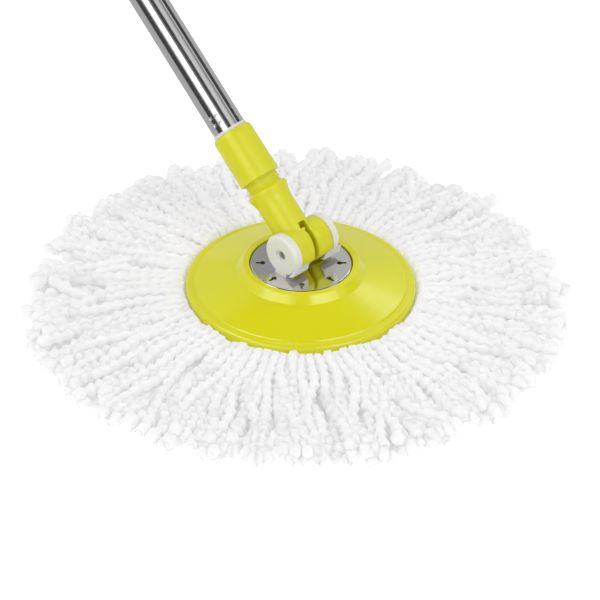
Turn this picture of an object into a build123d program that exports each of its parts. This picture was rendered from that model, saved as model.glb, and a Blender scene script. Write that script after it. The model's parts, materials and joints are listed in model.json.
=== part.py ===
from build123d import *

import os
from math import cos, radians, sin

# Spin mop, in millimetres. The origin is the centre of the mop head on the floor, +Z is up,
# the tilt pin lies along Y, and the handle leans towards -X.

# Driving dimensions
lean = 48.3                   # handle's lean from the vertical at rest
pivot_height = 55.3           # tilt pin's centre above the floor
joint_shift = 1.4             # how far the yoke's middle lies from the swivel axis, along Y
fringe_radius = 186.0
ring_bore = 52.0              # radius inside the refill ring
ring_radius = 79.6
ring_top = 14.9
plate_radius = 80.0
plate_seat = 15.0             # underside of the plate's rim
rim_top = 25.0
hub_bore = 8.1
hub_bottom = 22.0
recess_floor = 36.0           # floor of the recess the yoke's flange and the disc turn in
recess_radius = 36.0
flange_radius = 24.0
flange_top = 39.0
disc_radius = 35.6
disc_top = 40.2
disc_thickness = 1.1
keyholes = 8
spindle_radius = 8.0
cheek_radius = 15.0
cheek_inside = 15.8           # half the gap between the yoke's cheeks
cheek_outside = 22.0
pin_radius = 3.0
ear_radius = 14.8             # corners of the fork's cam
ear_outside = 15.65
fork_slot = 3.4
slot_shift = 1.0              # slot's middle from the yoke's middle
neck_radius = 12.85
shoulder_radius = 14.9
thread_pitch = 2.5
thread_root = 12.0
thread_crest = 12.7
nut_radius = 14.9
tube_radius = 12.0            # lower tube
tube_bore = 11.4
upper_radius = 10.5           # upper tube
upper_bore = 9.9
grip_radius = 14.0
hang_radius = 5.5             # hanging hole

# Distances along the handle, from the tilt pin's centre
neck_top = 37.1
shoulder_top = 47.1
nut_bottom = 54.1
spigot_top = 65.1
tube_start = 67.1
nut_top = 92.1
bush_top = 94.5
dent_rows = (100.8, 106.4)
tube_end = 640.0
lock_bottom = 600.0
lock_top = 700.0
upper_start = 239.5
upper_end = 828.0
grip_bottom = 700.6
grip_top = 812.0
hang_centre = 848.0

pivot = (0, 0, pivot_height)
yoke_middle = (0, joint_shift, pivot_height)
handle_x = (cos(radians(lean)), 0, sin(radians(lean)))
handle_z = (-sin(radians(lean)), 0, cos(radians(lean)))
handle = Plane(origin=pivot, x_dir=handle_x, z_dir=handle_z)       # across the handle
handle_side = Plane(origin=pivot, x_dir=handle_x, z_dir=(0, -1, 0))  # radius, distance along it
handle_axis = Axis(pivot, handle_z)
yoke_side = Plane(origin=yoke_middle, x_dir=(1, 0, 0), z_dir=(0, -1, 0))
ear_side = Plane(origin=yoke_middle, x_dir=handle_x, z_dir=(0, -1, 0))

os.makedirs("parts", exist_ok=True)


# ---- Refill: yarn pinched between two welded rings ----

with BuildPart() as mop_fringe:
    with BuildSketch(Plane.XZ):
        Polygon(
            (55.5, 7.7), (55.5, 12.2), (80.5, 12.2), (82.0, 14.5), (90.0, 20.0), (112.0, 20.0),
            (152.0, 16.0), (fringe_radius - 3, 11.0), (fringe_radius, 7.0), (fringe_radius - 1, 2.0),
            (fringe_radius - 4, 0.0),
            (58.0, 0.0), (58.0, 4.8), (74.4, 4.8), (74.4, 7.7),
            align=None,
        )
    revolve(axis=Axis.Z)

with BuildPart() as refill_top_ring:
    with BuildSketch(Plane.XZ):
        Polygon(
            (ring_bore, 5.0), (54.5, 5.0), (54.5, 12.4), (ring_radius, 12.4),
            (ring_radius, ring_top), (ring_bore, ring_top),
            align=None,
        )
    revolve(axis=Axis.Z)

with BuildPart() as refill_bottom_ring:
    with BuildSketch(Plane.XZ):
        Polygon((54.5, 5.0), (74.0, 5.0), (74.0, 7.5), (54.5, 7.5), align=None)
    revolve(axis=Axis.Z)


# ---- Base plate: a shallow cone with a rounded rim, a recess for the disc and a hub ----

skirt_radius = ring_bore - 0.4
rib_count = 8

with BuildPart() as base_plate:
    with BuildSketch(Plane.XZ):
        with BuildLine():
            FilletPolyline(
                (hub_bore, hub_bottom), (14.0, hub_bottom), (14.0, 33.6), (39.6, 33.6),
                (43.6, 32.4), (72.4, 23.6), (77.6, 22.4), (77.6, plate_seat),
                (plate_radius, plate_seat), (plate_radius, rim_top), (74.2, rim_top),
                (73.4, 26.0), (44.7, 35.2), (40.4, disc_top + 0.6), (recess_radius, disc_top + 0.6),
                (recess_radius, recess_floor), (hub_bore, recess_floor),
                radius=(0, 0, 1.0, 1.5, 1.0, 1.0, 1.5, 0, 0, 3.0, 0.5, 0.3, 1.2, 0.6, 0.3, 0, 0),
                close=True,
            )
        make_face()
    revolve(axis=Axis.Z)
    # snap skirt that centres the plate in the refill ring
    with BuildSketch(Plane.XZ):
        Polygon(
            (skirt_radius - 1.8, 11.5), (skirt_radius - 0.5, 11.5), (skirt_radius, 12.5),
            (skirt_radius, 31.2), (skirt_radius - 1.8, 31.8),
            align=None,
        )
    revolve(axis=Axis.Z)
    # ribs from the hub to the skirt
    for rib in range(rib_count):
        with BuildSketch(Plane.XZ.rotated((0, 0, rib * 360 / rib_count + 22.5))):
            Polygon(
                (13.5, 24.0), (skirt_radius - 1.5, 24.0), (skirt_radius - 1.5, 31.5),
                (43.8, 33.0), (39.8, 34.4), (13.5, 34.4),
                align=None,
            )
        extrude(amount=0.9, both=True)

foot_width = 10.0             # where the yoke's cheeks meet its flange

with BuildPart() as steel_disc:
    with BuildSketch(Plane.XY.offset(disc_top - 2 * disc_thickness)):
        Circle(disc_radius)
    extrude(amount=2 * disc_thickness)
    rolled_edge = steel_disc.faces().sort_by(Axis.Z)[-1].outer_wire().edges()
    fillet(rolled_edge, 1.6)
    with BuildSketch(Plane.XY.offset(disc_top - 2 * disc_thickness)):
        Circle(disc_radius - 1.2)
    extrude(amount=disc_thickness, mode=Mode.SUBTRACT)
    # keyholes, and slots the yoke's cheeks stand up through
    with BuildSketch(Plane.XY.offset(disc_top - 2 * disc_thickness)):
        with PolarLocations(26.8, keyholes):
            Circle(2.0)
        with PolarLocations(28.6, keyholes):
            SlotOverall(6.0, 1.8)
        for side in (-1, 1):
            with Locations((0, joint_shift + side * (cheek_inside + cheek_outside) / 2)):
                Rectangle(foot_width + 0.2, cheek_outside - cheek_inside + 0.2)
    extrude(amount=2 * disc_thickness, mode=Mode.SUBTRACT)


# ---- Swivel yoke and what keeps its spindle in the hub ----

spindle_bottom = 21.0
toe_front = 13.1              # guard bar ahead of the fork's ears, from the pin's centre
toe_bottom = -10.9
toe_inside = 8.2
toe_outside = 23.4

with BuildPart() as swivel_yoke:
    with BuildSketch(yoke_side.offset(cheek_inside)):
        Circle(cheek_radius)
    extrude(amount=cheek_outside - cheek_inside)
    cheek_face = swivel_yoke.faces().sort_by(Axis.Y)[0]
    fillet(cheek_face.edges(), 2.6)
    # guard bar, wrapped round the space the ear turns in
    with BuildSketch(yoke_side.offset(toe_inside)):
        with BuildLine():
            FilletPolyline(
                (7.0, -12.6), (8.4, -12.3), (toe_front, toe_bottom), (14.5, -4.2), (12.5, -4.2),
                radius=(0, 0.8, 0.5, 0, 0),
                close=True,
            )
        make_face()
        Circle(ear_radius + 0.15, mode=Mode.SUBTRACT)
    extrude(amount=toe_outside - toe_inside)
    # cone-shaped recess around the pin's end
    with BuildSketch(yoke_side.offset(cheek_outside)):
        Circle(4.9)
    extrude(amount=-1.5, taper=20, mode=Mode.SUBTRACT)
    with Locations((0, joint_shift - (cheek_inside + cheek_outside) / 2, (flange_top + 42.0) / 2)):
        Box(foot_width, cheek_outside - cheek_inside, 42.0 - flange_top + 0.2)
    mirror(about=yoke_side)
    with BuildSketch(Plane.XY.offset(recess_floor + 0.1)):
        Circle(flange_radius)
    extrude(amount=flange_top - recess_floor - 0.1)
    with BuildSketch(Plane.XY.offset(spindle_bottom)):
        Circle(spindle_radius)
    extrude(amount=recess_floor + 1 - spindle_bottom)
    with BuildSketch(yoke_side):
        Circle(pin_radius)
    extrude(amount=cheek_outside + 1, both=True, mode=Mode.SUBTRACT)
    with BuildSketch(Plane.XY.offset(spindle_bottom)):
        Circle(2.5)
    extrude(amount=13.0, mode=Mode.SUBTRACT)

with BuildPart() as pivot_pin:
    with BuildSketch(yoke_side):
        Circle(pin_radius)
    extrude(amount=19.2, both=True)
    chamfer(pivot_pin.edges().filter_by(GeomType.CIRCLE), 0.5)

with BuildPart() as thrust_washer:
    with BuildSketch(Plane.XY.offset(spindle_bottom)):
        Circle(13.0)
        Circle(spindle_radius, mode=Mode.SUBTRACT)
    extrude(amount=0.9)

with BuildPart() as retainer_cap:
    with BuildSketch(Plane.XY.offset(spindle_bottom - 2.5)):
        Circle(12.5)
        Circle(2.5, mode=Mode.SUBTRACT)
    extrude(amount=2.5)
    fillet(retainer_cap.edges().group_by(Axis.Z)[0].sort_by(SortBy.LENGTH)[-1], 1.0)

with BuildPart() as hub_screw:
    with BuildSketch(Plane.XY.offset(spindle_bottom - 5.0)):
        Circle(4.6)
    extrude(amount=2.5)
    fillet(hub_screw.edges().group_by(Axis.Z)[0], 1.2)
    with BuildSketch(Plane.XY.offset(spindle_bottom - 2.5)):
        Circle(2.5)
    extrude(amount=14.0)
    # cross recess in the head
    with BuildSketch(Plane.XY.offset(spindle_bottom - 5.0)):
        Rectangle(4.4, 1.0)
        Rectangle(1.0, 4.4)
    extrude(amount=1.4, mode=Mode.SUBTRACT)


# ---- Fork connector: slotted cam, neck, shoulder and threaded spigot ----

slot_end = 12.0
plug_bore = 9.0


def cam_point(angle, radius):
    # a point on the cam, by its direction from the handle's
    return radius * sin(radians(angle)), radius * cos(radians(angle))


with BuildPart() as fork_connector:
    # ears with gently bulged sides that meet in four soft creases
    with BuildSketch(ear_side):
        with BuildLine():
            ThreePointArc(cam_point(-77, ear_radius), cam_point(0, ear_radius), cam_point(77, ear_radius))
            ThreePointArc(cam_point(77, ear_radius), cam_point(117.5, 13.7), cam_point(158, ear_radius))
            ThreePointArc(cam_point(158, ear_radius), cam_point(180, 14.1), cam_point(202, ear_radius))
            ThreePointArc(cam_point(202, ear_radius), cam_point(242.5, 13.7), cam_point(283, ear_radius))
        make_face()
    extrude(amount=ear_outside, both=True)
    with BuildSketch(ear_side.offset(-slot_shift)):
        Rectangle(60.0, 60.0)
    extrude(amount=fork_slot / 2, both=True, mode=Mode.SUBTRACT)
    slot_faces = fork_connector.faces().filter_by(Axis.Y).sort_by(Axis.Y)[1:3]
    fillet([edge for face in slot_faces for edge in face.edges()], 2.6)
    with BuildSketch(handle_side):
        with BuildLine():
            FilletPolyline(
                (0, 7.3), (neck_radius, 7.3), (neck_radius, neck_top), (shoulder_radius, neck_top + 5.6),
                (shoulder_radius, neck_top + 7.8), (thread_root, shoulder_top),
                (thread_root, spigot_top), (plug_bore, spigot_top), (plug_bore, 33.0), (0, 33.0),
                radius=(0, 0, 14.0, 3.0, 1.6, 0, 0.6, 0, 1.0, 0),
                close=True,
            )
        make_face()
    revolve(axis=handle_axis)
    # slot under the neck, with a pocket at its closed end
    with BuildSketch(ear_side.offset(-slot_shift)):
        with Locations((0, slot_end - 20.0)):
            Rectangle(60.0, 40.0)
    extrude(amount=fork_slot / 2, both=True, mode=Mode.SUBTRACT)
    with BuildSketch(handle.offset(slot_end - 3.0)):
        with Locations((12.0, 0.8)):
            Rectangle(12.0, 6.6)
    extrude(amount=4.4, mode=Mode.SUBTRACT)
    # pin bore
    with BuildSketch(ear_side):
        Circle(pin_radius + 0.08)
    extrude(amount=ear_outside + 1, both=True, mode=Mode.SUBTRACT)
    # external thread
    with BuildLine():
        thread_path = Helix(
            pitch=thread_pitch,
            height=spigot_top - shoulder_top - 3.0,
            radius=thread_root,
            center=handle_axis.position + handle_axis.direction * (shoulder_top + 1.0),
            direction=handle_z,
        )
    with BuildSketch(Plane(origin=thread_path @ 0, x_dir=handle_z, z_dir=thread_path % 0)):
        Trapezoid(1.9, 0.9, 60, align=(Align.CENTER, Align.CENTER), rotation=0)
    sweep(path=thread_path, is_frenet=True)

with BuildPart() as collar_nut:
    with BuildSketch(handle_side):
        with BuildLine():
            FilletPolyline(
                (thread_crest + 0.1, nut_bottom), (nut_radius, nut_bottom),
                (nut_radius - 0.2, nut_top - 2.8), (nut_radius - 1.0, nut_top - 0.6),
                (nut_radius - 1.6, nut_top), (thread_crest + 0.1, nut_top),
                (thread_crest + 0.1, 70.2), (13.85, 70.2), (13.85, 67.0), (thread_crest + 0.1, 67.0),
                radius=(0.4, 0.6, 3.0, 0.6, 0, 0, 0, 0, 0, 0),
                close=True,
            )
        make_face()
    revolve(axis=handle_axis)

with BuildPart() as collar_bush:
    with BuildSketch(handle_side):
        Polygon(
            (tube_radius + 0.05, 67.3), (13.75, 67.3), (13.75, 70.1), (thread_crest, 70.1),
            (thread_crest, bush_top - 0.5), (thread_crest - 0.3, bush_top),
            (tube_radius + 0.05, bush_top),
            align=None,
        )
    revolve(axis=handle_axis)

with BuildPart() as tube_insert:
    with BuildSketch(handle_side):
        Polygon(
            (0, 35.0), (7.9, 35.0), (8.9, 36.0), (8.9, spigot_top), (tube_radius - 0.1, spigot_top),
            (tube_radius - 0.1, tube_start), (tube_bore, tube_start), (tube_bore, 114.0),
            (tube_bore - 2.0, 114.0), (tube_bore - 2.0, 71.0), (0, 71.0),
            align=None,
        )
    revolve(axis=handle_axis)


# ---- Lower tube with its crimp dents, and the twist lock on its top end ----

dent_ball = 2.2
dent_depth = 0.35
dent_columns = tuple(quarter * 90 + column for quarter in range(4) for column in (-51.0, -74.5))

with BuildPart() as lower_tube:
    with BuildSketch(handle.offset(tube_start)):
        Circle(tube_radius)
        Circle(tube_bore, mode=Mode.SUBTRACT)
    extrude(amount=tube_end - tube_start)
    for row in dent_rows:
        for angle in dent_columns:
            reach = tube_radius + dent_ball - dent_depth
            dent = Pos(reach * cos(radians(angle)), reach * sin(radians(angle)), row)
            add(handle.location * dent * Sphere(dent_ball, mode=Mode.PRIVATE), mode=Mode.SUBTRACT)

with BuildPart() as lock_body:
    with BuildSketch(handle_side):
        Polygon(
            (tube_radius, lock_bottom), (13.0, lock_bottom), (14.6, lock_bottom + 12),
            (14.6, lock_bottom + 50), (12.9, lock_bottom + 50), (12.9, lock_bottom + 68),
            (upper_radius + 0.1, lock_bottom + 68), (upper_radius + 0.1, tube_end),
            (tube_radius, tube_end),
            align=None,
        )
    revolve(axis=handle_axis)

with BuildPart() as lock_collet:
    with BuildSketch(handle_side):
        Polygon(
            (upper_radius + 0.06, lock_bottom + 68), (12.6, lock_bottom + 68),
            (12.6, lock_bottom + 78), (11.6, lock_bottom + 90), (upper_radius + 0.06, lock_bottom + 90),
            align=None,
        )
    revolve(axis=handle_axis)
    # the split that lets it close on the tube
    with BuildSketch(handle.offset(lock_bottom + 67)):
        with Locations((upper_radius, 0)):
            Rectangle(8.0, 2.0)
    extrude(amount=25.0, mode=Mode.SUBTRACT)

flutes = 14

with BuildPart() as lock_collar:
    with BuildSketch(handle_side):
        with BuildLine():
            FilletPolyline(
                (13.0, lock_bottom + 50.2), (15.8, lock_bottom + 50.2), (16.2, lock_top - 12),
                (13.6, lock_top), (upper_radius + 0.15, lock_top), (upper_radius + 0.15, lock_top - 5),
                (13.0, lock_top - 9),
                radius=(0, 0.8, 6.0, 1.2, 0, 0, 0),
                close=True,
            )
        make_face()
    revolve(axis=handle_axis)
    with BuildSketch(handle.offset(lock_bottom + 54)):
        with PolarLocations(17.4, flutes):
            Circle(2.4)
    extrude(amount=30.0, mode=Mode.SUBTRACT)


# ---- Sliding upper tube, its guide bush, the grip and the end cap ----

with BuildPart() as upper_tube:
    with BuildSketch(handle.offset(upper_start)):
        Circle(upper_radius)
        Circle(upper_bore, mode=Mode.SUBTRACT)
    extrude(amount=upper_end - upper_start)

with BuildPart() as guide_bush:
    with BuildSketch(handle_side):
        Polygon(
            (7.5, upper_start - 35), (10.6, upper_start - 35), (tube_bore - 0.08, upper_start - 33),
            (tube_bore - 0.08, upper_start), (upper_bore, upper_start),
            (upper_bore, upper_start + 25), (7.5, upper_start + 25),
            align=None,
        )
    revolve(axis=handle_axis)

grip_ribs = 9

with BuildPart() as grip_sleeve:
    with BuildSketch(handle_side):
        with BuildLine():
            FilletPolyline(
                (upper_radius, grip_bottom), (12.6, grip_bottom), (grip_radius, grip_bottom + 8),
                (grip_radius - 0.8, (grip_bottom + grip_top) / 2), (grip_radius, grip_top - 8),
                (grip_radius, grip_top), (upper_radius, grip_top),
                radius=(0, 1.0, 8.0, 60.0, 8.0, 0.8, 0),
                close=True,
            )
        make_face()
    revolve(axis=handle_axis)
    # shallow rings for the fingers
    with BuildSketch(handle_side):
        for ring in range(grip_ribs):
            with Locations((grip_radius + 0.5, grip_bottom + 22 + ring * 8.5)):
                Circle(1.5)
    revolve(axis=handle_axis, mode=Mode.SUBTRACT)

cap_thickness = 12.0
cap_width = 24.0

with BuildPart() as end_cap:
    with BuildSketch(handle_side):
        with BuildLine():
            FilletPolyline(
                (upper_radius, grip_top), (grip_radius - 0.4, grip_top),
                (grip_radius - 0.8, grip_top + 12), (9.0, upper_end + 6), (0, upper_end + 6),
                (0, upper_end), (upper_radius, upper_end),
                radius=(0, 0, 4.0, 3.0, 0, 0, 0),
                close=True,
            )
        make_face()
    revolve(axis=handle_axis)
    # flat tab with the hanging hole
    with BuildSketch(handle_side):
        with Locations((0, hang_centre)):
            Circle(cap_width / 2)
        with Locations((0, (hang_centre + upper_end + 1) / 2)):
            Rectangle(cap_width, hang_centre - upper_end - 1)
    extrude(amount=cap_thickness / 2, both=True)
    with BuildSketch(handle_side):
        with Locations((0, hang_centre)):
            Circle(hang_radius)
    extrude(amount=cap_thickness, both=True, mode=Mode.SUBTRACT)


# ---- One file per piece ----

pieces = {
    "mop_fringe": mop_fringe,
    "refill_top_ring": refill_top_ring,
    "refill_bottom_ring": refill_bottom_ring,
    "base_plate": base_plate,
    "steel_disc": steel_disc,
    "swivel_yoke": swivel_yoke,
    "pivot_pin": pivot_pin,
    "thrust_washer": thrust_washer,
    "retainer_cap": retainer_cap,
    "hub_screw": hub_screw,
    "fork_connector": fork_connector,
    "collar_nut": collar_nut,
    "collar_bush": collar_bush,
    "tube_insert": tube_insert,
    "lower_tube": lower_tube,
    "lock_body": lock_body,
    "lock_collet": lock_collet,
    "lock_collar": lock_collar,
    "upper_tube": upper_tube,
    "guide_bush": guide_bush,
    "grip_sleeve": grip_sleeve,
    "end_cap": end_cap,
}

for name, piece in pieces.items():
    piece.part.label = name
    export_step(piece.part, f"parts/{name}.step")
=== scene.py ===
import json
import random
from math import cos, pi, radians, sin, tan

import bpy
from mathutils import Matrix, Quaternion, Vector


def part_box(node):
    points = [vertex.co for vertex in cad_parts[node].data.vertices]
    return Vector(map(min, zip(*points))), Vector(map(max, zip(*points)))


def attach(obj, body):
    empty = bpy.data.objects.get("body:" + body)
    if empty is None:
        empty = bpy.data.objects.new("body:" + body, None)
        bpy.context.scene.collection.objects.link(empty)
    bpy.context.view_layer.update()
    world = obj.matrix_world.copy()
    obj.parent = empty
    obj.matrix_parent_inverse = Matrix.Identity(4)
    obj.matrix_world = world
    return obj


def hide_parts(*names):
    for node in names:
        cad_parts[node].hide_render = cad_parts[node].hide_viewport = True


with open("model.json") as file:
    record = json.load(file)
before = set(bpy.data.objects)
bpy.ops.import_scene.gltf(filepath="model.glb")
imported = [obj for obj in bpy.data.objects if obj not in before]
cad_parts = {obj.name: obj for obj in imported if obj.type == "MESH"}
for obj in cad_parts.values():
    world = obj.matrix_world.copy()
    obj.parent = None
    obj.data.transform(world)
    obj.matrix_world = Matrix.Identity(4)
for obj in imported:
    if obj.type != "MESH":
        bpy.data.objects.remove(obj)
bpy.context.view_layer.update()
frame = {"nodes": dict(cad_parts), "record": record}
random.seed(11)


def reportStage(text):
    print("spin mop:", text)


def deselectAll():
    if bpy.context.object and bpy.context.object.mode != "OBJECT":
        bpy.ops.object.mode_set(mode="OBJECT")
    bpy.ops.object.select_all(action="DESELECT")


# Camera: a long lens from the front right, looking down on the joint
cameraSettings = {
    "azimuth": 43.5,
    "elevation": 34.75,
    "distance": 3.0,
    "lens": 259.0,
    "roll": 0.96,
    "rimTop": 0.025,
    "lift": -0.0133,      # the aim, from the middle of the rim's top, along the view's up
    "sideways": -0.0003,
}
cameraTurn = radians(cameraSettings["azimuth"])
cameraRise = radians(cameraSettings["elevation"])
towardsCamera = Vector((
    sin(cameraTurn) * cos(cameraRise), -cos(cameraTurn) * cos(cameraRise), sin(cameraRise),
))


def placeCamera(settings):
    turn, rise = cameraTurn, cameraRise
    up = Vector((-sin(turn) * sin(rise), cos(turn) * sin(rise), cos(rise)))
    right = Vector((cos(turn), sin(turn), 0.0))
    rimTop = Vector((0.0, 0.0, settings["rimTop"]))
    aim = rimTop + up * settings["lift"] + right * settings["sideways"]
    bpy.ops.object.camera_add(location=aim + towardsCamera * settings["distance"])
    camera = bpy.context.object
    camera.name = "camera"
    camera.data.lens = settings["lens"]
    camera.data.clip_end = 50.0
    turned = (-towardsCamera).to_track_quat("-Z", "Y")
    camera.rotation_euler = (turned @ Quaternion((0, 0, 1), radians(settings["roll"]))).to_euler()
    bpy.context.scene.camera = camera


placeCamera(cameraSettings)
reportStage("camera placed")


# Studio: a white floor, a wide pale sky, three soft lamps, and cards seen only in reflections
studio = {
    "sky": 0.70,
    "floorGlow": 0.30,
    "keyPower": 11.0,
    "fillPower": 8.0,
    "rimPower": 6.0,
    "handleLean": 48.3,
    "cardDistance": 1.8,      # beyond the reach of the drawn-out pole
    "discLeft": 0.38,
    "discRight": 0.60,
    "ceiling": 0.04,
    "windows": 3.0,
    "handleCardHeight": 2.1,
    "discCardSize": (0.65, 0.9),
    "discCardSpread": 0.18,
    "ceilingCardSize": (2.2, 1.9),
    "windowCardSize": (1.36, 0.45),
    "windowTurn": 45.0,       # to each side of the camera
    "windowRise": 36.0,
}
# cards beside the handle: start and end angle from the camera's direction, and brightness
handleCards = (
    (-170.0, -84.0, 0.54), (-82.0, -45.0, 0.07), (-40.0, -14.0, 1.6), (-14.0, -5.0, 0.7),
    (-5.0, 0.0, 0.32), (1.0, 22.0, 0.07), (24.0, 46.0, 0.76), (46.0, 54.0, 0.58),
    (54.0, 61.0, 0.28), (61.0, 73.0, 0.80), (74.0, 100.0, 0.05), (101.0, 170.0, 0.56),
)


def softBox(name, place, size, power):
    bpy.ops.object.light_add(type="AREA", location=place)
    lamp = bpy.context.object
    lamp.name = name
    lamp.data.shape = "RECTANGLE"
    lamp.data.size = size[0]
    lamp.data.size_y = size[1]
    lamp.data.energy = power
    lamp.rotation_euler = (-Vector(place)).to_track_quat("-Z", "Y").to_euler()


def reflectCard(name, direction, along, distance, size, brightness):
    # a card that only polished surfaces see, facing the mop's joint
    bpy.ops.mesh.primitive_plane_add(size=1.0)
    card = bpy.context.object
    card.name = name
    facing = -direction.normalized()
    upright = (along - facing * along.dot(facing)).normalized()
    turned = Matrix((upright.cross(facing), upright, facing)).transposed().to_4x4()
    card.matrix_world = Matrix.Translation(direction.normalized() * distance) @ turned
    card.scale = (size[0], size[1], 1.0)
    glow = bpy.data.materials.new(name)
    glow.use_nodes = True
    shader = glow.node_tree.nodes["Principled BSDF"]
    shader.inputs["Base Color"].default_value = (0.0, 0.0, 0.0, 1.0)
    shader.inputs["Specular IOR Level"].default_value = 0.0
    shader.inputs["Emission Color"].default_value = (1.0, 1.0, 1.0, 1.0)
    shader.inputs["Emission Strength"].default_value = brightness
    card.data.materials.append(glow)
    card.visible_camera = False
    card.visible_diffuse = False
    card.visible_shadow = False
    card.visible_transmission = False


def buildCards(settings, bands):
    lean = radians(settings["handleLean"])
    handle = Vector((-sin(lean), 0.0, cos(lean)))
    ahead = (towardsCamera - handle * towardsCamera.dot(handle)).normalized()
    aside = handle.cross(ahead)
    distance = settings["cardDistance"]
    for index, (start, end, brightness) in enumerate(bands):
        middle = radians((start + end) / 2)
        width = 2.0 * distance * tan(radians(end - start) / 2)
        direction = ahead * cos(middle) + aside * sin(middle)
        size = (width, settings["handleCardHeight"])
        reflectCard("handle card " + str(index + 1), direction, handle, distance, size, brightness)
    # what the level steel disc mirrors, and a dark ceiling
    mirrored = Vector((-towardsCamera.x, -towardsCamera.y, towardsCamera.z))
    right = Vector((cos(cameraTurn), sin(cameraTurn), 0.0))
    upright = Vector((0.0, 0.0, 1.0))
    apart, size = right * settings["discCardSpread"], settings["discCardSize"]
    reflectCard("disc card left", mirrored - apart, upright, distance, size, settings["discLeft"])
    reflectCard("disc card right", mirrored + apart, upright, distance, size, settings["discRight"])
    reflectCard("ceiling card", upright, right, distance, settings["ceilingCardSize"], settings["ceiling"])
    # two windows mirrored in the sloping ring round the disc
    level = Vector((towardsCamera.x, towardsCamera.y, 0.0)).normalized()
    turn, rise = radians(settings["windowTurn"]), radians(settings["windowRise"])
    nearer = distance - 0.1    # in front of the handle's cards
    for side in (-1, 1):
        turned = level * cos(turn) + right * side * sin(turn)
        direction = turned * cos(rise) + upright * sin(rise)
        reflectCard("window card", direction, upright, nearer, settings["windowCardSize"], settings["windows"])


def buildStudio(settings):
    deselectAll()
    bpy.ops.mesh.primitive_plane_add(size=8.0)
    floor = bpy.context.object
    floor.name = "floor"
    paper = bpy.data.materials.new("white paper")
    paper.use_nodes = True
    shader = paper.node_tree.nodes["Principled BSDF"]
    shader.inputs["Base Color"].default_value = (0.97, 0.97, 0.97, 1.0)
    shader.inputs["Roughness"].default_value = 0.9
    shader.inputs["Emission Color"].default_value = (1.0, 1.0, 1.0, 1.0)
    shader.inputs["Emission Strength"].default_value = settings["floorGlow"]
    floor.data.materials.append(paper)
    floor.visible_glossy = False
    sky = bpy.data.worlds.new("studio")
    sky.use_nodes = True
    nodes, links = sky.node_tree.nodes, sky.node_tree.links
    background = nodes["Background"]
    background.inputs["Color"].default_value = (1.0, 1.0, 1.0, 1.0)
    # the camera sees the sky as white as the floor, the mop is lit by its own value
    ray = nodes.new("ShaderNodeLightPath")
    strength = nodes.new("ShaderNodeMapRange")
    strength.inputs["To Min"].default_value = settings["sky"]
    strength.inputs["To Max"].default_value = 1.0
    links.new(ray.outputs["Is Camera Ray"], strength.inputs["Value"])
    links.new(strength.outputs["Result"], background.inputs["Strength"])
    bpy.context.scene.world = sky
    softBox("key light", (-0.9, -1.3, 1.7), (0.9, 1.2), settings["keyPower"])
    softBox("fill light", (1.6, -0.3, 1.3), (0.8, 1.1), settings["fillPower"])
    softBox("rim light", (0.2, 1.8, 1.6), (1.4, 0.7), settings["rimPower"])
    bpy.context.scene.view_settings.view_transform = "Standard"


buildStudio(studio)
buildCards(studio, handleCards)
reportStage("studio lit")


# Colours and finishes, one dictionary for the whole mop
finishes = {
    "limePlate": (0.72, 0.70, 0.002),
    "limeFork": (0.68, 0.66, 0.004),
    "acetal": (0.76, 0.755, 0.70),
    "steel": (0.70, 0.69, 0.69),
    "darkSteel": (0.30, 0.30, 0.31),
    "yarn": (0.72, 0.715, 0.72),
    "gripRubber": (0.20, 0.21, 0.03),
}


def newGroup(name, inputs, outputs):
    group = bpy.data.node_groups.new(name, "ShaderNodeTree")
    for label, kind, value in inputs:
        socket = group.interface.new_socket(name=label, in_out="INPUT", socket_type=kind)
        socket.default_value = value
    for label, kind in outputs:
        group.interface.new_socket(name=label, in_out="OUTPUT", socket_type=kind)
    nodes = group.nodes
    return group, nodes, group.links, nodes.new("NodeGroupInput"), nodes.new("NodeGroupOutput")


def addNode(nodes, kind, **values):
    node = nodes.new(kind)
    for key, value in values.items():
        setattr(node, key, value)
    return node


def noiseAt(nodes, links, place, scale, detail=3.0):
    noise = addNode(nodes, "ShaderNodeTexNoise")
    noise.inputs["Detail"].default_value = detail
    links.new(place, noise.inputs["Vector"])
    if hasattr(scale, "is_output"):
        links.new(scale, noise.inputs["Scale"])
    else:
        noise.inputs["Scale"].default_value = scale
    return noise


def buildMouldGroup():
    # moulded plastic: soft flow shading, faint orange peel, rubbed patches in the gloss
    group, nodes, links, given, put = newGroup(
        "moulded surface",
        [("Color", "NodeSocketColor", (0.6, 0.6, 0.1, 1.0)), ("Flow", "NodeSocketFloat", 0.06),
         ("Gloss", "NodeSocketFloat", 0.25), ("Peel Scale", "NodeSocketFloat", 900.0)],
        [("Color", "NodeSocketColor"), ("Roughness", "NodeSocketFloat"), ("Height", "NodeSocketFloat")],
    )
    place = addNode(nodes, "ShaderNodeTexCoord").outputs["Object"]
    flow = noiseAt(nodes, links, place, 28.0, 2.0)
    peel = noiseAt(nodes, links, place, given.outputs["Peel Scale"], 2.0)
    rub = noiseAt(nodes, links, place, 140.0, 6.0)
    shade = addNode(nodes, "ShaderNodeMapRange")
    shade.inputs["To Min"].default_value = 1.0
    links.new(flow.outputs["Fac"], shade.inputs["Value"])
    darkest = addNode(nodes, "ShaderNodeMath", operation="SUBTRACT")
    darkest.inputs[0].default_value = 1.0
    links.new(given.outputs["Flow"], darkest.inputs[1])
    links.new(darkest.outputs[0], shade.inputs["To Max"])
    tint = addNode(nodes, "ShaderNodeVectorMath", operation="SCALE")
    links.new(given.outputs["Color"], tint.inputs[0])
    links.new(shade.outputs["Result"], tint.inputs["Scale"])
    links.new(tint.outputs[0], put.inputs["Color"])
    gloss = addNode(nodes, "ShaderNodeMath", operation="MULTIPLY_ADD")
    links.new(rub.outputs["Fac"], gloss.inputs[0])
    gloss.inputs[1].default_value = 0.16
    links.new(given.outputs["Gloss"], gloss.inputs[2])
    links.new(gloss.outputs[0], put.inputs["Roughness"])
    links.new(peel.outputs["Fac"], put.inputs["Height"])
    return group


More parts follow.
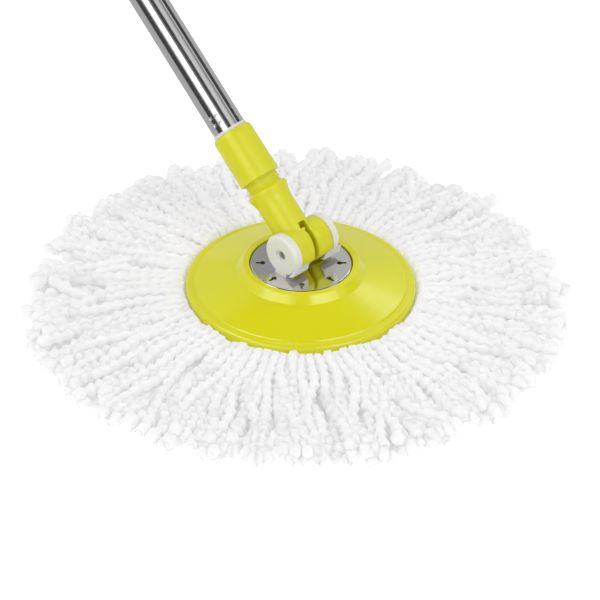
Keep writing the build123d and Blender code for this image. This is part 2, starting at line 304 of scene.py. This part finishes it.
def buildDrawnGroup():
    # polished metal with fine drawing lines along one direction and faint smudges
    group, nodes, links, given, put = newGroup(
        "drawn metal",
        [("Color", "NodeSocketColor", (0.7, 0.7, 0.7, 1.0)),
         ("Place", "NodeSocketVector", (0.0, 0.0, 0.0)),
         ("Roughness", "NodeSocketFloat", 0.08)],
        [("Color", "NodeSocketColor"), ("Roughness", "NodeSocketFloat"), ("Height", "NodeSocketFloat")],
    )
    lines = noiseAt(nodes, links, given.outputs["Place"], 1.0, 4.0)
    place = addNode(nodes, "ShaderNodeTexCoord").outputs["Object"]
    smudge = noiseAt(nodes, links, place, 45.0, 5.0)
    mixed = addNode(nodes, "ShaderNodeMath", operation="MULTIPLY_ADD")
    links.new(smudge.outputs["Fac"], mixed.inputs[0])
    mixed.inputs[1].default_value = 0.10
    links.new(given.outputs["Roughness"], mixed.inputs[2])
    links.new(mixed.outputs[0], put.inputs["Roughness"])
    shade = addNode(nodes, "ShaderNodeMapRange")
    shade.inputs["To Min"].default_value = 0.92
    shade.inputs["To Max"].default_value = 1.05
    links.new(lines.outputs["Fac"], shade.inputs["Value"])
    tint = addNode(nodes, "ShaderNodeVectorMath", operation="SCALE")
    links.new(given.outputs["Color"], tint.inputs[0])
    links.new(shade.outputs["Result"], tint.inputs["Scale"])
    links.new(tint.outputs[0], put.inputs["Color"])
    links.new(lines.outputs["Fac"], put.inputs["Height"])
    return group


mouldGroup = buildMouldGroup()
drawnGroup = buildDrawnGroup()


def newMaterial(name):
    material = bpy.data.materials.new(name)
    material.use_nodes = True
    nodes = material.node_tree.nodes
    return material, nodes, material.node_tree.links, nodes["Principled BSDF"]


def raiseBumps(nodes, links, shader, height, strength, depth):
    bump = addNode(nodes, "ShaderNodeBump")
    bump.inputs["Strength"].default_value = strength
    bump.inputs["Distance"].default_value = depth
    links.new(height, bump.inputs["Height"])
    links.new(bump.outputs["Normal"], shader.inputs["Normal"])


def mouldedPlastic(name, color, flow, gloss, coat, peel, subsurface=0.0):
    material, nodes, links, shader = newMaterial(name)
    look = addNode(nodes, "ShaderNodeGroup", node_tree=mouldGroup)
    look.inputs["Color"].default_value = (*color, 1.0)
    look.inputs["Flow"].default_value = flow
    look.inputs["Gloss"].default_value = gloss
    look.inputs["Peel Scale"].default_value = peel
    links.new(look.outputs["Color"], shader.inputs["Base Color"])
    links.new(look.outputs["Roughness"], shader.inputs["Roughness"])
    shader.inputs["Coat Weight"].default_value = coat
    shader.inputs["Coat Roughness"].default_value = 0.08
    shader.inputs["Subsurface Weight"].default_value = subsurface
    shader.inputs["Subsurface Radius"].default_value = (0.004, 0.004, 0.0035)
    shader.inputs["Subsurface Scale"].default_value = 1.0
    raiseBumps(nodes, links, shader, look.outputs["Height"], 0.25, 0.00005)
    return material


def drawnSteel(name, color, roughness, turn, stretch):
    # stretch squeezes the noise across the drawing direction
    material, nodes, links, shader = newMaterial(name)
    place = addNode(nodes, "ShaderNodeTexCoord").outputs["Object"]
    turned = addNode(nodes, "ShaderNodeMapping", vector_type="POINT")
    turned.inputs["Rotation"].default_value = turn
    turned.inputs["Scale"].default_value = stretch
    links.new(place, turned.inputs["Vector"])
    look = addNode(nodes, "ShaderNodeGroup", node_tree=drawnGroup)
    look.inputs["Color"].default_value = (*color, 1.0)
    look.inputs["Roughness"].default_value = roughness
    links.new(turned.outputs[0], look.inputs["Place"])
    links.new(look.outputs["Color"], shader.inputs["Base Color"])
    links.new(look.outputs["Roughness"], shader.inputs["Roughness"])
    shader.inputs["Metallic"].default_value = 1.0
    raiseBumps(nodes, links, shader, look.outputs["Height"], 0.15, 0.00002)
    return material


def yarnMaterial(name, color):
    # soft microfibre: fine fuzz over small clumps, with painted shade making the colour a little darker down
    # between them
    material, nodes, links, shader = newMaterial(name)
    place = addNode(nodes, "ShaderNodeTexCoord").outputs["Object"]
    clumps = noiseAt(nodes, links, place, 420.0, 4.0)
    fibres = noiseAt(nodes, links, place, 2600.0, 3.0)
    # painted shade: the base colour drops to 94% where the clump noise is low, and that noise also sets the
    # bump height
    ramp = addNode(nodes, "ShaderNodeValToRGB")
    ramp.color_ramp.elements[0].position = 0.30
    ramp.color_ramp.elements[0].color = (*(c * 0.94 for c in color), 1.0)
    ramp.color_ramp.elements[1].position = 0.62
    ramp.color_ramp.elements[1].color = (*color, 1.0)
    links.new(clumps.outputs["Fac"], ramp.inputs["Fac"])
    links.new(ramp.outputs["Color"], shader.inputs["Base Color"])
    height = addNode(nodes, "ShaderNodeMath", operation="MULTIPLY_ADD")
    links.new(fibres.outputs["Fac"], height.inputs[0])
    height.inputs[1].default_value = 0.35
    links.new(clumps.outputs["Fac"], height.inputs[2])
    shader.inputs["Roughness"].default_value = 0.95
    shader.inputs["Sheen Weight"].default_value = 0.15
    shader.inputs["Sheen Roughness"].default_value = 0.5
    shader.inputs["Subsurface Weight"].default_value = 0.6
    shader.inputs["Subsurface Radius"].default_value = (0.008, 0.008, 0.008)
    shader.inputs["Subsurface Scale"].default_value = 1.0
    # painted light: the yarn glows evenly to lift its shade, standing in for light passed on between the
    # fibres
    shader.inputs["Emission Color"].default_value = (1.0, 0.99, 1.0, 1.0)
    shader.inputs["Emission Strength"].default_value = 0.185
    raiseBumps(nodes, links, shader, height.outputs[0], 0.5, 0.0005)
    return material


handleTurn = (0.0, radians(studio["handleLean"]), 0.0)
discTurn = (0.0, 0.0, 0.4)
discGrain, tubeGrain, plainGrain = (900.0, 60.0, 60.0), (2600.0, 2600.0, 22.0), (700.0, 700.0, 300.0)
materials = {
    "lime_plate": mouldedPlastic("glossy lime", finishes["limePlate"], 0.05, 0.14, 0.25, 700.0),
    "lime_fork": mouldedPlastic("satin lime", finishes["limeFork"], 0.06, 0.24, 0.0, 900.0),
    "white_pom": mouldedPlastic("milky acetal", finishes["acetal"], 0.04, 0.30, 0.15, 800.0, 0.35),
    "white_ring": mouldedPlastic("white ring plastic", finishes["acetal"], 0.05, 0.38, 0.0, 800.0),
    "grip_rubber": mouldedPlastic("grip rubber", finishes["gripRubber"], 0.12, 0.62, 0.0, 1600.0),
    "polished_steel": drawnSteel("mirror steel", finishes["steel"], 0.04, discTurn, discGrain),
    "polished_tube": drawnSteel("drawn tube", finishes["steel"], 0.06, handleTurn, tubeGrain),
    "dark_steel": drawnSteel("plain steel", finishes["darkSteel"], 0.28, handleTurn, plainGrain),
    "yarn": yarnMaterial("microfibre yarn", finishes["yarn"]),
}

for entry in frame["record"]["subparts"]:
    node = frame["nodes"][entry["node"]]
    node.data.materials.clear()
    node.data.materials.append(materials[entry["material_slot"]])
reportStage("finishes on the hard parts")


# Yarn fringe: chunky strands, pinched in the ring and fanning out over the floor
fringe = {
    "strands": 450,
    "levels": 5,             # how many strands lie over one another
    "sectors": 8,
    "ringRadius": 0.066,
    "pinchEnd": 0.077,       # the yarn is squeezed flat inside this radius
    "pinchHeight": 0.0098,
    "pinchThickness": 0.0019,
    "rimGap": 0.0062,        # from the plate's rim to where the yarn has risen
    "reach": 0.1770,
    "pushedOut": 0.028,      # how much further the yarn reaches on one side
    "pushedTowards": -86.0,
    "reachSpread": 0.0036,
    "clumpReach": 0.0035,
    "shortest": 0.162,
    "longest": 0.1880,
    "yarnRadius": 0.0043,
    "nubLength": 0.0082,
    "nubSwell": (0.72, 1.18),    # thin and thick places in turn
    "tipBulb": ((0.55, 1.10), (1.1, 1.0), (1.5, 0.62)),    # steps outwards and thickness
    "rimHeight": 0.0208,
    "tipHeight": 0.0125,
    "floorHeight": 0.0040,
    "ripple": 0.0012,
    "sway": 0.0038,
    "spread": 0.085,
    "lumpSize": 0.0050,
    "lumpDepth": 0.0026,
}
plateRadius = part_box("base_plate")[1][0]


def easeStep(value):
    value = min(1.0, max(0.0, value))
    return value * value * (3.0 - 2.0 * value)


def strandPoints(settings, angle, level):
    # centre line and thickness from the ring outwards
    clump = sin(angle * 37.0 + 2.0 * sin(angle * 11.0)) + 0.6 * sin(angle * 83.0 + 1.0)
    reach = random.gauss(settings["reach"], settings["reachSpread"]) + settings["clumpReach"] * clump
    reach *= 1.0 + settings["pushedOut"] * cos(angle - radians(settings["pushedTowards"]))
    reach = min(settings["longest"], max(settings["shortest"], reach))
    lean = random.gauss(0.0, settings["spread"]) - 0.02 * clump
    swayTurns = random.uniform(0.8, 1.8)
    swayStart = random.uniform(0.0, 2.0 * pi)
    sway = settings["sway"] * random.uniform(0.3, 1.3)
    dip = random.uniform(0.0, 2.0 * pi)
    girth = settings["yarnRadius"] * random.uniform(0.86, 1.14)
    floorHeight = settings["floorHeight"]
    rimRadius = plateRadius + settings["rimGap"]
    pinchEnd = settings["pinchEnd"]
    rimTop = floorHeight + level * (settings["rimHeight"] - floorHeight)
    tipTop = floorHeight + level * (settings["tipHeight"] - floorHeight)
    points = []
    radius = settings["ringRadius"]
    while radius < reach:
        for swell in settings["nubSwell"]:
            along = max(0.0, (radius - rimRadius) / (reach - rimRadius))
            outside = easeStep((radius - pinchEnd) / (rimRadius - pinchEnd))
            height = rimTop + (tipTop - rimTop) * easeStep(along)
            height += settings["ripple"] * sin(dip + 9.0 * along) * level
            height = settings["pinchHeight"] * (1.0 - outside) + height * outside
            aside = sway * sin(swayStart + 2.0 * pi * swayTurns * along) * min(1.0, along * 2.5)
            turn = angle + lean * along * along + aside / radius
            thick = girth * swell * random.uniform(0.93, 1.07) * (0.90 + 0.16 * along)
            if radius < pinchEnd + 0.001:
                thick = settings["pinchThickness"]
            points.append((radius * cos(turn), radius * sin(turn), max(height, thick * 0.98), thick))
            radius += settings["nubLength"] * random.uniform(0.40, 0.56)
    # the looped tip ends in a round bulb
    x, y, z, thick = points[-1]
    for step, swell in settings["tipBulb"]:
        out = 1.0 + step * girth / radius
        points.append((x * out, y * out, z, girth * swell))
    return points


def layStrand(curve, points):
    spline = curve.splines.new("POLY")
    spline.points.add(len(points) - 1)
    for point, (x, y, z, thick) in zip(spline.points, points):
        point.co = (x, y, z, 1.0)
        point.radius = thick
    spline.use_smooth = True


def buildFringe(settings, material):
    count, levels = settings["strands"], settings["levels"]
    sectors = []
    for sector in range(settings["sectors"]):
        curve = bpy.data.curves.new("fringe_" + str(sector + 1), "CURVE")
        curve.dimensions = "3D"
        curve.bevel_depth = 1.0
        curve.bevel_resolution = 1
        curve.use_fill_caps = True
        sectors.append(curve)
    for index in range(count):
        angle = 2.0 * pi * (index + random.uniform(-0.45, 0.45)) / count
        level = ((index * 3) % levels + random.uniform(-0.35, 0.35)) / (levels - 1)
        points = strandPoints(settings, angle, min(1.0, max(0.0, level)))
        layStrand(sectors[index * settings["sectors"] // count], points)
    lumps = bpy.data.textures.new("yarn lumps", "CLOUDS")
    lumps.noise_scale = settings["lumpSize"]
    lumps.noise_depth = 1
    pieces = []
    for curve in sectors:
        curveObject = bpy.data.objects.new(curve.name, curve)
        bpy.context.collection.objects.link(curveObject)
        deselectAll()
        curveObject.select_set(True)
        bpy.context.view_layer.objects.active = curveObject
        bpy.ops.object.convert(target="MESH")
        piece = bpy.context.object
        bumpy = piece.modifiers.new("lumps", "DISPLACE")
        bumpy.texture = lumps
        bumpy.texture_coords = "LOCAL"
        bumpy.strength = settings["lumpDepth"]
        bumpy.mid_level = 0.5
        bpy.ops.object.modifier_apply(modifier=bumpy.name)
        bpy.ops.object.shade_smooth()
        piece.data.materials.clear()
        piece.data.materials.append(material)
        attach(piece, "refill")
        pieces.append(piece)
    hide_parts("mop_fringe")
    reportStage("fringe faces " + str(sum(len(piece.data.polygons) for piece in pieces)))


buildFringe(fringe, materials["yarn"])
reportStage("yarn fringe laid")
